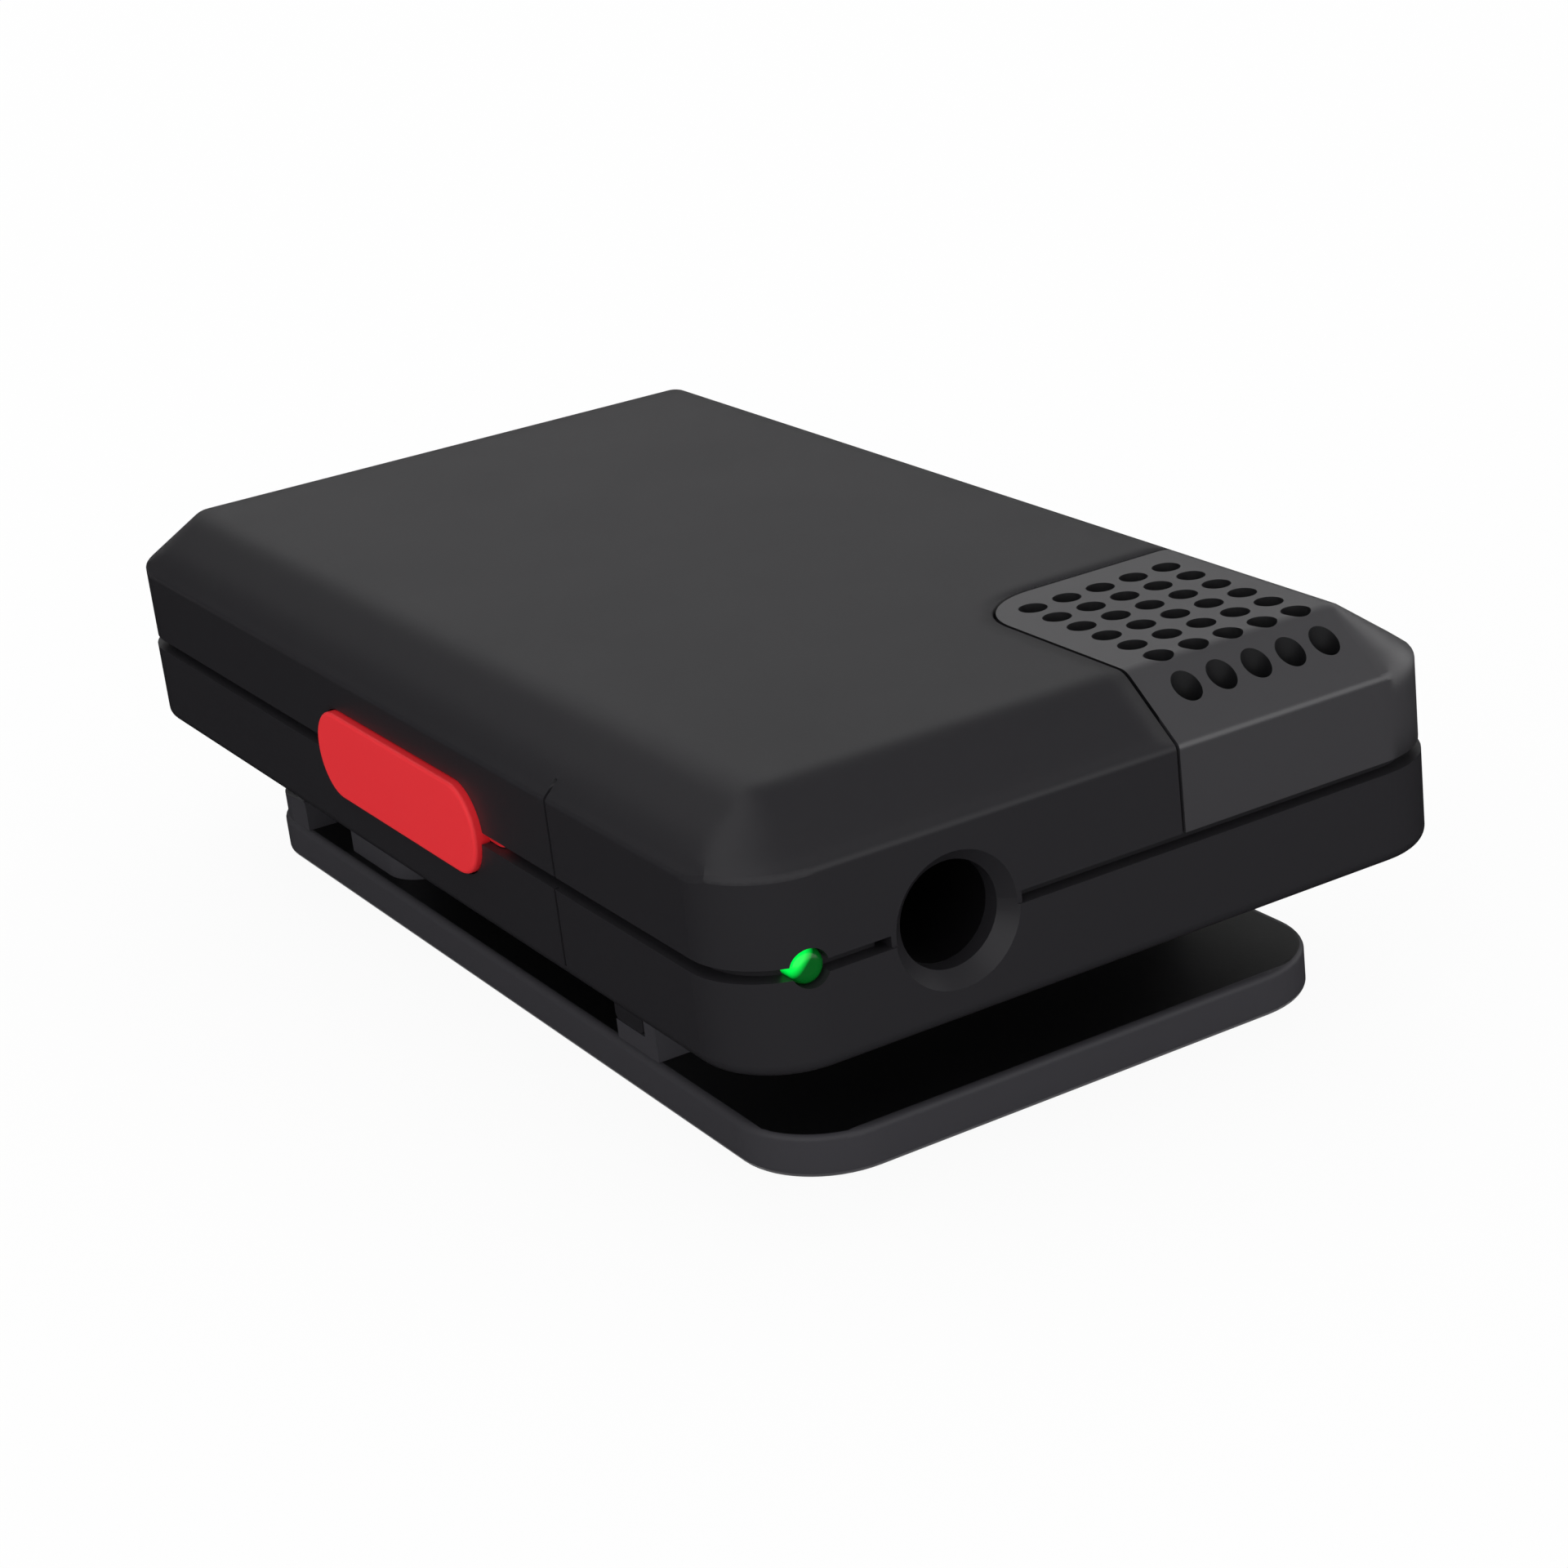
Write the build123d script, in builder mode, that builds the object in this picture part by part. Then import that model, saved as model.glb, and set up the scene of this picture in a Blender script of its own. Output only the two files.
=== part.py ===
"""Clip-on wireless lavalier microphone: a two-shell case on a sprung back clip.

Frame: +Z up, origin on the flat underside of the clip arm, below the middle of the case.
-Y is the end with the 3.5 mm socket and -X is the side with the button.  All sizes in millimetres.
"""

from build123d import *

import os
from math import cos, pi, radians, sin, sqrt, tan

os.makedirs("parts", exist_ok=True)

# ================================================================ driving dimensions
# Case
case_length = 51.0
case_width = 28.4
case_height = 8.6
case_corner = 3.1
wall = 1.2
floor_thickness = 1.1
lower_height = 3.26             # underside to the lower shell's rim
groove_height = 0.4             # parting groove
shell_step = 0.08               # the lower shell stands this proud of the upper one
underside_round = 0.45
end_slope = 36.5                # end chamfers, degrees above the horizontal
end_drop = 1.95                 # top face to the crease at the ends
side_slope = 45.0               # side shoulders, degrees below the horizontal
side_overrun = 1.0              # how far their cutting section is carried on past the wall
side_drop = 2.17                # top face to the crease at the sides
top_round = 0.95                # between the top and the end chamfers
shoulder_round = 2.3            # between the top and the side shoulders
crease_round = 0.3
crease_reach = 0.02             # how far the crease's edges are looked for past its levels
tongue_inset = 0.62             # outside of the case to the tongue
tongue_height = 1.04            # tongue above the lower rim
tongue_clearance = 0.06
side_seam_inset = 12.24         # fine line down both shells on the button side, from the end
side_seam_width = 0.14
side_seam_depth = 0.2
side_seam_rise = 0.57           # how far the line runs on above the crease

# Fits
slide_clearance = 0.06          # button in its pocket
running_clearance = 0.05        # clip arm on its pin
pass_clearance = 0.05           # sockets and light where they go through the shells

# Grille insert
grille_width = 11.5             # from the side of the case
grille_length = 12.0            # from the end of the case
grille_corner = 2.6
grille_seam = 0.13
hole_radius = 0.51
hole_pitch = 1.433
hole_columns = 5
hole_rows = 7
hole_inset_x = 1.64             # edge of the insert to the first column
hole_inset_y = 1.68             # edge of the insert to the first row
ledge_lap = 0.5                 # how far the ledge reaches to each side of the seam
ledge_thickness = 0.5
mesh_seat_depth = 1.6           # top face to the flat seat of the mesh
mesh_thickness = 0.12
mesh_margin = 0.45              # mesh beyond the edges of the outer holes
mesh_corner = 1.7               # where the mesh rounds the ledge's corner

# Microphone
mic_inset_y = 5.1               # edge of the insert to the middle of the capsule
mic_radius = 3.0
mic_height = 2.6
gasket_width = 1.2
gasket_height = 0.28
boot_wall = 0.8
boot_lip = 0.8                  # ledge that the capsule stands on
capsule_round = 0.3
capsule_port_radius = 1.0
capsule_port_depth = 0.3
mic_pin_radius = 0.25
mic_pin_spacing = 2.54

# 3.5 mm socket
jack_inset = 7.96               # from the side of the case
jack_bore_radius = 1.8
jack_mouth_radius = jack_bore_radius + 0.02     # the shells' hole, just clear of the bore
jack_lip_radius = 2.34
jack_lead_in = 0.57
jack_bore_depth = 12.6
jack_end_wall = 0.9
jack_width = 6.6
jack_rise = 3.1                 # axis of the bore to the top of the socket
jack_nose = 1.1                 # bevel under the front chamfer of the case
jack_collar = 0.11              # the shells close the groove this far round the lip
jack_zone_gap = 0.3             # that collar to the ends of the tongue
contact_width = 1.0
contact_thickness = 0.15
contact_rise = 2.0              # contact blades above the board
contact_foot = 0.7
contact_inset = 3.4             # first pair of contacts from the socket's front
contact_pitch = 6.2

# Status light
light_inset = 2.6               # from the side of the case
light_rise = 0.06               # middle of the window above the parting line
light_radius = 0.6
light_edge_round = 0.35
light_recess = 0.15
light_block_width = 1.6
light_block_height = 1.75
light_block_depth = 0.75
led_width = 1.6
led_depth = 0.8
led_height = 0.9
led_gap = 0.1                   # to the light pipe

# Side button and its switch
button_y = -1.08
button_length = 13.35
button_height = 3.4
button_proud = 0.25
button_thickness = 0.6
button_travel = 0.3
button_edge_round = 0.14
web_overhang = 1.1              # web beyond the ends of the button
web_depth = 0.75
web_clearance = 0.03
flange_length = 8.0
flange_height = 2.0
flange_thickness = 0.4
stem_length = 4.0
stem_reach = 0.7                # flange and stem, in from the wall
plunger_length = 1.6
plunger_height = 0.9
plunger_reach = 1.1
plunger_seat = 0.7              # how deep the plunger sits in the switch at rest
switch_length = 3.6
switch_depth = 2.9
switch_height = 2.3

# Charging socket
usb_width = 8.94
usb_height = 3.26
usb_corner = 1.45
usb_depth = 7.3
usb_wall = 0.3
usb_recess = 0.4
usb_back = 1.3
usb_tab_width = 1.0
usb_tab_length = 1.2
usb_tab_thickness = 0.25
usb_tongue_width = 6.6
usb_tongue_height = 0.7
usb_tongue_recess = 0.5
usb_tongue_round = 0.4

# Circuit board
board_thickness = 0.8
board_gap = 0.4                 # board to the walls
board_corner = 1.6
board_cut_gap = 0.2             # board to the sockets
post_height = 0.4
post_radius = 1.1
post_inset_x = 4.5              # from the walls
post_front_inset = 16.3
post_back_inset = 8.3
shield_width = 12.0
shield_length = 12.0
shield_height = 1.8
shield_sheet = 0.2
shield_inset = 16.4             # end of the board to the middle of the shield
radio_chip_width = 7.0
radio_chip_height = 0.9
codec_width = 4.0
charger_width = 3.0
crystal_length = 3.2
crystal_width = 2.5
chip_height = 0.85
crystal_height = 0.7
chip_row_gap = 5.3              # 3.5 mm socket to the row of chips
codec_x = 5.5
charger_x = 0.6
crystal_gap = 0.8               # to the shield
crystal_offset = 3.0
antenna_inset_x = 3.0           # from the edges of the board
antenna_inset_y = 7.4
antenna_length = 3.2
antenna_width = 1.6
antenna_height = 1.2

# Battery
battery_gap = 1.3               # to the sockets at both ends
battery_width = 18.6
battery_thickness = 2.4
battery_round = 0.7
tape_thickness = 0.2
tape_margin = 2.0
lead_radius = 0.35
lead_spacing = 1.5
lead_drop = 2.4
lead_bend = 1.1
socket_x = 0.3
socket_gap = 2.5                # battery to its socket
socket_length = 3.0
socket_width = 3.6
socket_height = 1.8

# Case screws
screw_inset_x = 2.0             # from the walls
screw_front_inset = 16.8
screw_back_inset = 3.8
screw_radius = 0.7
screw_clearance = 0.1
screw_head_radius = 1.25
screw_head_height = 0.6
screw_recess = 0.9              # underside to the seat of the head
screw_length = 4.9
screw_tip_gap = 0.3
column_radius = 1.6
column_height = 2.6             # underside to the top of the column
boss_radius = 1.5
board_hole_clearance = 0.2

# Clip arm
arm_front = -22.2
arm_back = 21.76
arm_width = 22.78
arm_thickness = 1.6
arm_corner = 3.37
arm_round = 0.25
jaw_gap = 4.24                  # plate to the underside of the case
rib_inset = 0.19                # cross ribs in from the sides of the plate
tooth_back = -10.2
tooth_thickness = 2.0
tooth_rest_gap = 0.06           # tooth to the pad that it closes on
tooth_side_gap = 0.1            # tooth to the rib in front of it
pad_height = 0.7
front_rib_thickness = 0.81
front_rib_gap = 0.4             # rib to the underside of the case
rib_round = 0.2
lug_front = 8.13
lug_length = 5.2
lug_thickness = 2.1
lug_inset = 0.59                # lugs in from the sides of the plate
lug_height = 3.3
lug_top_round = 1.2
lug_corner = 1.6
thumb_length = 4.9              # from the back of the plate
thumb_inset = 0.15
thumb_height = 1.3
thumb_end_height = 0.7

# Hinge
pin_radius = 0.7
pin_rise = 1.7                  # middle of the pin above the plate
pin_end_wall = 0.35             # lug left closed over one end of the pin
pin_end_gap = 0.1
pin_chamfer = 0.15
base_lead = 5.75                # front of the foot to the pin
base_length = 11.6
base_thickness = 0.9
base_corner = 1.2
ear_gap = 0.3                   # ears to lugs
ear_thickness = 1.9
ear_radius = 1.35
clip_screw_x = 5.5
clip_screw_inset = 1.5          # from the ends of the foot
clip_screw_radius = 0.6
clip_screw_head_radius = 1.05
clip_screw_head_height = 0.4
clip_screw_length = 1.75
clip_boss_radius = 1.5
clip_boss_height = 0.35
wire_diameter = 0.55
coil_radius = 1.2               # to the middle of the wire
coil_pitch = 1.0
coil_turns = 8                  # whole turns, and half a turn more
coil_leg = 4.4

# Screw drive
screw_edge = 0.1
drive_width = 0.3
drive_share = 0.62              # slot length as a share of the head
cutter_slack = 1.0              # how far cutting tools run past a face

# ================================================================ levels and planes
case_z = arm_thickness + jaw_gap
rim_z = case_z + lower_height
lip_z = rim_z + groove_height
parting_z = rim_z + groove_height / 2
floor_z = case_z + floor_thickness
top_z = case_z + case_height
roof_z = top_z - wall
tongue_z = rim_z + tongue_height
end_crease_z = top_z - end_drop
side_crease_z = top_z - side_drop
board_z = floor_z + post_height
deck_z = board_z + board_thickness      # where the parts stand on the board
mesh_seat_z = top_z - mesh_seat_depth
light_z = parting_z + light_rise
pin_y = lug_front + lug_length / 2
pin_z = arm_thickness + pin_rise

board_half_x = case_width / 2 - wall - board_gap
board_half_y = case_length / 2 - wall - board_gap
upper_width = case_width - 2 * shell_step
upper_length = case_length - 2 * shell_step
inner_x = case_width / 2 - wall
inner_y = case_length / 2 - wall
shoulder_x = upper_width / 2 - side_drop / tan(radians(side_slope))

grille_left = case_width / 2 - grille_width
grille_back = -case_length / 2 + grille_length
hole_middle_x = grille_left + hole_inset_x + hole_pitch * (hole_columns - 1) / 2
hole_middle_y = grille_back - hole_inset_y - hole_pitch * (hole_rows - 1) / 2
mic_place = (hole_middle_x, grille_back - mic_inset_y)
side_seam_y = -case_length / 2 + side_seam_inset
jack_x = -case_width / 2 + jack_inset
jack_front = -inner_y
jack_back = jack_front + jack_bore_depth + jack_end_wall
light_x = -case_width / 2 + light_inset
usb_front = case_length / 2 - usb_recess
usb_start = usb_front - usb_depth
battery_front = jack_back + battery_gap
battery_back = usb_start - battery_gap
thumb_front = arm_back - thumb_length
base_front = pin_y - base_lead

button_zone = button_length + 2 * web_overhang + cutter_slack
jack_zone_radius = jack_lip_radius + jack_collar
pocket_depth = button_thickness - button_proud + button_travel + slide_clearance
screw_places = [
    (x, y)
    for x in (screw_inset_x - inner_x, inner_x - screw_inset_x)
    for y in (screw_front_inset - inner_y, inner_y - screw_back_inset)
]
post_places = [
    (x, y)
    for x in (post_inset_x - inner_x, inner_x - post_inset_x)
    for y in (post_front_inset - inner_y, inner_y - post_back_inset)
]
clip_screw_places = [
    (x, y)
    for x in (-clip_screw_x, clip_screw_x)
    for y in (base_front + clip_screw_inset, base_front + base_length - clip_screw_inset)
]


# ================================================================ shared profiles
def block(x, y, z, mode=Mode.ADD):
    """A box between a pair of limits along each axis."""
    with Locations(((x[0] + x[1]) / 2, (y[0] + y[1]) / 2, (z[0] + z[1]) / 2)):
        Box(x[1] - x[0], y[1] - y[0], z[1] - z[0], mode=mode)


def case_plan(inset):
    """Plan of the case, set in from the outside of the lower shell."""
    RectangleRounded(case_width - 2 * inset, case_length - 2 * inset, case_corner - inset)


def shoulder_section(inset):
    """Section across X below the side shoulders, set in from the outside."""
    crown = top_z - inset
    foot = case_z - cutter_slack
    knee = shoulder_x - inset * tan(radians(side_slope / 2))
    side = upper_width / 2 + side_overrun
    fall = (side - knee) * tan(radians(side_slope))
    with BuildSketch(Plane.XZ) as section:
        with BuildLine():
            Polyline(
                (0, crown), (knee, crown), (side, crown - fall), (side, foot), (0, foot), close=True
            )
        make_face()
        fillet(section.vertices().group_by(Axis.Y)[-1].sort_by(Axis.X)[-1], shoulder_round - inset)
        mirror(about=Plane.YZ)
    return section.sketch


def end_section(inset):
    """Section along Y below the end chamfers, set in from the outside."""
    end = upper_length / 2
    foot = case_z - cutter_slack
    crown = top_z - inset
    crease = end_crease_z - inset / cos(radians(end_slope))
    top_end = end - (crown - crease) / tan(radians(end_slope))
    with BuildSketch(Plane.YZ) as section:
        with BuildLine():
            Polyline(
                (0, crown), (top_end, crown), (end, crease), (end, foot), (0, foot), close=True
            )
        make_face()
        mirror(about=Plane.YZ)
    return section.sketch


def grille_plan(grow, height):
    """Plan of the grille insert, grown past its two inner edges and run out of the case."""
    left = grille_left - grow
    back = grille_back + grow
    with BuildSketch(Plane.XY.offset(height)) as plan:
        with Locations((left, back)):
            Rectangle(case_width, case_length, align=(Align.MIN, Align.MAX))
        corner = plan.vertices().sort_by(Axis.X)[:2].sort_by(Axis.Y)[-1]
        fillet(corner, grille_corner + grow)
    return plan.sketch


def screw(head_radius, head_height, shank_radius, length, head_z):
    """An upright screw: cross-slotted head at the bottom, plain shank above it."""
    with BuildPart() as one:
        with BuildSketch(Plane.XY.offset(head_z)):
            Circle(head_radius)
        extrude(amount=head_height)
        chamfer(one.edges().group_by(Axis.Z)[0], screw_edge)
        with BuildSketch(Plane.XY.offset(head_z)):
            Rectangle(2 * head_radius * drive_share, drive_width)
            Rectangle(drive_width, 2 * head_radius * drive_share)
        extrude(amount=head_height / 2, mode=Mode.SUBTRACT)
        with BuildSketch(Plane.XY.offset(head_z + head_height)):
            Circle(shank_radius)
        extrude(amount=length)
        chamfer(one.edges().group_by(Axis.Z)[-1], 2 * screw_edge)
    return one.part


# ================================================================ shared cutting tools
# Outside of the upper half: end chamfers that wrap the corners, under wide side shoulders
with BuildPart() as upper_form:
    with BuildSketch(Plane.XY.offset(lip_z)):
        case_plan(shell_step)
    extrude(amount=end_crease_z - lip_z)
    with BuildSketch(Plane.XY.offset(end_crease_z)):
        case_plan(shell_step)
    extrude(amount=end_drop, taper=90 - end_slope)
    extrude(shoulder_section(0), amount=case_length, both=True, mode=Mode.INTERSECT)
    fillet(upper_form.edges().filter_by(Axis.X).group_by(Axis.Z)[-1], top_round)
    crease_edges = upper_form.edges().filter_by_position(
        Axis.Z, side_crease_z - crease_reach, end_crease_z + crease_reach
    )
    fillet(crease_edges, crease_round)

# Room inside both shells
with BuildPart() as cavity:
    with BuildSketch(Plane.XY.offset(floor_z)):
        case_plan(wall)
    extrude(amount=roof_z - floor_z)
    extrude(shoulder_section(wall), amount=case_length, both=True, mode=Mode.INTERSECT)
    extrude(end_section(wall), amount=case_width, both=True, mode=Mode.INTERSECT)

# Button and 3.5 mm socket: here the walls are plain and the tongue stops
with BuildPart() as plain_zones:
    with Locations((-inner_x, button_y, rim_z)):
        Box(2 * wall, button_zone, 2 * tongue_height + cutter_slack)
    with Locations((jack_x, -inner_y, rim_z)):
        Box(2 * (jack_zone_radius + jack_zone_gap), 2 * wall, 2 * tongue_height + cutter_slack)

# Tongue of the lower shell, and the rebate that takes it
with BuildPart() as tongue:
    with BuildSketch(Plane.XY.offset(floor_z)):
        case_plan(tongue_inset)
    extrude(amount=tongue_z - floor_z)
    add(cavity.part, mode=Mode.SUBTRACT)
    block((-case_width, case_width), (-case_length, case_length), (case_z, rim_z), Mode.SUBTRACT)
    add(plain_zones.part, mode=Mode.SUBTRACT)

with BuildPart() as rebate:
    with BuildSketch(Plane.XY.offset(rim_z)):
        case_plan(tongue_inset - tongue_clearance)
    extrude(amount=tongue_z - rim_z)
    add(plain_zones.part, mode=Mode.SUBTRACT)

# Collar that closes the groove round the 3.5 mm socket, and the flared hole through it
with BuildPart() as jack_collar_form:
    with BuildSketch(Plane.XZ.offset(inner_y)):
        with Locations((jack_x, parting_z)):
            Circle(jack_zone_radius)
    extrude(amount=wall - shell_step)

with BuildPart() as jack_hole:
    with BuildSketch(Plane.XZ.offset(inner_y - cutter_slack)):
        with Locations((jack_x, parting_z)):
            Circle(jack_mouth_radius)
    extrude(amount=wall + 2 * cutter_slack)
    with BuildSketch(Plane.XZ.offset(case_length / 2)):
        with Locations((jack_x, parting_z)):
            Circle(jack_lip_radius)
    with BuildSketch(Plane.XZ.offset(case_length / 2 - jack_lead_in)):
        with Locations((jack_x, parting_z)):
            Circle(jack_mouth_radius)
    loft()

# Lozenge pocket of the button, with room for its travel
with BuildPart() as button_pocket:
    with BuildSketch(Plane.YZ.offset(-case_width / 2 - cutter_slack)):
        with Locations((button_y, parting_z)):
            SlotOverall(button_length + 2 * slide_clearance, button_height + 2 * slide_clearance)
    extrude(amount=cutter_slack + pocket_depth)

# Window of the status light
with BuildPart() as light_hole:
    with BuildSketch(Plane.XZ.offset(inner_y - cutter_slack)):
        with Locations((light_x, light_z)):
            Circle(light_radius + pass_clearance)
    extrude(amount=wall + 2 * cutter_slack)

# Mouth of the charging socket
with BuildPart() as usb_mouth:
    with BuildSketch(Plane.XZ.offset(-inner_y + cutter_slack)):
        with Locations((0, parting_z)):
            RectangleRounded(
                usb_width + 2 * pass_clearance,
                usb_height + 2 * pass_clearance,
                usb_corner + pass_clearance,
            )
    extrude(amount=-wall - 2 * cutter_slack)

# Fine line down the button side and a little way onto the shoulder
with BuildPart() as side_seam:
    with BuildSketch(Plane.XZ.offset(-side_seam_y - side_seam_width / 2)):
        with BuildLine():
            outside = -case_width / 2
            lean = side_seam_rise / tan(radians(side_slope))
            Polyline(
                (outside - cutter_slack, case_z + underside_round),
                (outside + side_seam_depth, case_z + underside_round),
                (outside + side_seam_depth, side_crease_z),
                (outside + side_seam_depth + lean, side_crease_z + side_seam_rise),
                (outside - cutter_slack, side_crease_z + side_seam_rise),
                close=True,
            )
        make_face()
    extrude(amount=side_seam_width)

# ================================================================ case
with BuildPart() as lower_shell:
    with BuildSketch(Plane.XY.offset(case_z)):
        case_plan(0)
    extrude(amount=lower_height)
    fillet(lower_shell.edges().group_by(Axis.Z)[0], underside_round)
    add(cavity.part, mode=Mode.SUBTRACT)
    add(tongue.part)
    # lower half of the collar round the 3.5 mm socket
    add(split(jack_collar_form.part, Plane.XY.offset(parting_z), Keep.BOTTOM, mode=Mode.PRIVATE))
    # screw columns, clip screw bosses and board posts
    with BuildSketch(Plane.XY.offset(floor_z)):
        with Locations(*screw_places):
            Circle(column_radius)
    extrude(amount=column_height - floor_thickness)
    with BuildSketch(Plane.XY.offset(floor_z)):
        with Locations(*clip_screw_places):
            Circle(clip_boss_radius)
    extrude(amount=clip_boss_height)
    with BuildSketch(Plane.XY.offset(floor_z)):
        with Locations(*post_places):
            Circle(post_radius)
    extrude(amount=post_height)
    # tooth of the jaw
    tooth_x = arm_width / 2 - rib_inset
    tooth_z = arm_thickness + pad_height + tooth_rest_gap
    block((-tooth_x, tooth_x), (tooth_back - tooth_thickness, tooth_back), (tooth_z, case_z))
    fillet(lower_shell.edges().group_by(Axis.Z)[0].filter_by(Axis.X), rib_round)
    # openings and holes
    add(jack_hole.part, mode=Mode.SUBTRACT)
    add(button_pocket.part, mode=Mode.SUBTRACT)
    add(light_hole.part, mode=Mode.SUBTRACT)
    add(usb_mouth.part, mode=Mode.SUBTRACT)
    add(side_seam.part, mode=Mode.SUBTRACT)
    with BuildSketch(Plane.XY.offset(case_z)):
        with Locations(*screw_places):
            Circle(screw_head_radius + screw_clearance)
    extrude(amount=screw_recess, mode=Mode.SUBTRACT)
    with BuildSketch(Plane.XY.offset(case_z)):
        with Locations(*screw_places):
            Circle(screw_radius + screw_clearance)
        with Locations(*clip_screw_places):
            Circle(clip_screw_radius)
    extrude(amount=column_height, mode=Mode.SUBTRACT)

lower_shell.part.label = "lower_shell"
export_step(lower_shell.part, "parts/lower_shell.step")

# The upper half before the grille insert's corner is parted from it
with BuildPart() as upper_half:
    add(upper_form.part)
    add(cavity.part, mode=Mode.SUBTRACT)
    add(rebate.part, mode=Mode.SUBTRACT)

# Ledge that carries the insert along its two inner edges
ledge_z = roof_z - ledge_thickness
with BuildPart() as ledge:
    extrude(grille_plan(grille_seam + ledge_lap, ledge_z), amount=ledge_thickness)
    extrude(grille_plan(-ledge_lap, ledge_z), amount=ledge_thickness, mode=Mode.SUBTRACT)
    add(cavity.part, mode=Mode.INTERSECT)

with BuildPart() as upper_shell:
    add(upper_half.part)
    extrude(grille_plan(grille_seam, case_z), amount=case_height + cutter_slack, mode=Mode.SUBTRACT)
    add(ledge.part)
    # upper half of the collar round the 3.5 mm socket
    add(split(jack_collar_form.part, Plane.XY.offset(parting_z), Keep.TOP, mode=Mode.PRIVATE))
    # screw bosses
    with BuildSketch(Plane.XY.offset(case_z + column_height)):
        with Locations(*screw_places):
            Circle(boss_radius)
    extrude(amount=roof_z - case_z - column_height)
    with BuildSketch(Plane.XY.offset(case_z + column_height)):
        with Locations(*screw_places):
            Circle(screw_radius)
    boss_hole_depth = screw_recess + screw_length + screw_tip_gap - column_height
    extrude(amount=boss_hole_depth, mode=Mode.SUBTRACT)
    # openings
    add(jack_hole.part, mode=Mode.SUBTRACT)
    add(button_pocket.part, mode=Mode.SUBTRACT)
    add(light_hole.part, mode=Mode.SUBTRACT)
    add(usb_mouth.part, mode=Mode.SUBTRACT)
    add(side_seam.part, mode=Mode.SUBTRACT)

upper_shell.part.label = "upper_shell"
export_step(upper_shell.part, "parts/upper_shell.step")

# Perforated insert: a corner of the upper half, thickened inside to a flat seat for the mesh
mesh_reach_x = hole_pitch * (hole_columns - 1) / 2 + hole_radius + mesh_margin
mesh_reach_y = hole_pitch * (hole_rows - 1) / 2 + hole_radius + mesh_margin
mesh_x = (hole_middle_x - mesh_reach_x, hole_middle_x + mesh_reach_x)
mesh_y = (max(hole_middle_y - mesh_reach_y, -inner_y), hole_middle_y + mesh_reach_y)


def mesh_plan(height):
    """Plan of the mesh and of its seat, rounded at the corner between the two ledges."""
    with BuildSketch(Plane.XY.offset(height)) as plan:
        with Locations((mesh_x[0], mesh_y[1])):
            Rectangle(mesh_x[1] - mesh_x[0], mesh_y[1] - mesh_y[0], align=(Align.MIN, Align.MAX))
        corner = plan.vertices().sort_by(Axis.X)[:2].sort_by(Axis.Y)[-1]
        fillet(corner, mesh_corner)
    return plan.sketch


with BuildPart() as mic_grille:
    add(upper_half.part)
    extrude(grille_plan(0, case_z), amount=case_height + cutter_slack, mode=Mode.INTERSECT)
    extrude(mesh_plan(mesh_seat_z), amount=roof_z - mesh_seat_z)
    block(mesh_x, mesh_y, (tongue_z, mesh_seat_z), Mode.SUBTRACT)
    with BuildSketch(Plane.XY.offset(tongue_z)):
        with Locations((hole_middle_x, hole_middle_y)):
            with GridLocations(hole_pitch, hole_pitch, hole_columns, hole_rows):
                Circle(hole_radius)
    extrude(amount=top_z - tongue_z + cutter_slack, mode=Mode.SUBTRACT)

mic_grille.part.label = "mic_grille"
export_step(mic_grille.part, "parts/mic_grille.step")

# ================================================================ microphone
with BuildPart() as mic_mesh:
    extrude(mesh_plan(mesh_seat_z - mesh_thickness), amount=mesh_thickness)

mic_mesh.part.label = "mic_mesh"
export_step(mic_mesh.part, "parts/mic_mesh.step")

boot_radius = mic_radius + boot_wall
capsule_top_z = mesh_seat_z - mesh_thickness - gasket_height
capsule_z = capsule_top_z - mic_height
with BuildPart() as mic_gasket:
    with BuildSketch(Plane.XY.offset(capsule_top_z)):
        with Locations(mic_place):
            Circle(boot_radius)
            Circle(boot_radius - gasket_width, mode=Mode.SUBTRACT)
    extrude(amount=gasket_height)

mic_gasket.part.label = "mic_gasket"
export_step(mic_gasket.part, "parts/mic_gasket.step")

with BuildPart() as mic_capsule:
    with BuildSketch(Plane.XY.offset(capsule_z)):
        with Locations(mic_place):
            Circle(mic_radius)
    extrude(amount=mic_height)
    fillet(mic_capsule.edges().group_by(Axis.Z)[-1], capsule_round)
    with BuildSketch(Plane.XY.offset(capsule_top_z - capsule_port_depth)):
        with Locations(mic_place):
            Circle(capsule_port_radius)
    extrude(amount=capsule_port_depth, mode=Mode.SUBTRACT)

mic_capsule.part.label = "mic_capsule"
export_step(mic_capsule.part, "parts/mic_capsule.step")

with BuildPart() as mic_boot:
    with BuildSketch(Plane.XY.offset(deck_z)):
        with Locations(mic_place):
            Circle(boot_radius)
            Circle(mic_radius - boot_lip, mode=Mode.SUBTRACT)
    extrude(amount=capsule_z - deck_z)
    with BuildSketch(Plane.XY.offset(capsule_z)):
        with Locations(mic_place):
            Circle(boot_radius)
            Circle(mic_radius, mode=Mode.SUBTRACT)
    extrude(amount=mic_height)

mic_boot.part.label = "mic_boot"
export_step(mic_boot.part, "parts/mic_boot.step")

with BuildPart() as mic_pins:
    with BuildSketch(Plane.XY.offset(deck_z)):
        with Locations(mic_place):
            with GridLocations(mic_pin_spacing, 0, 2, 1):
                Circle(mic_pin_radius)
    extrude(amount=capsule_z - deck_z)

mic_pins.part.label = "mic_pins"
export_step(mic_pins.part, "parts/mic_pins.step")

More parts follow.
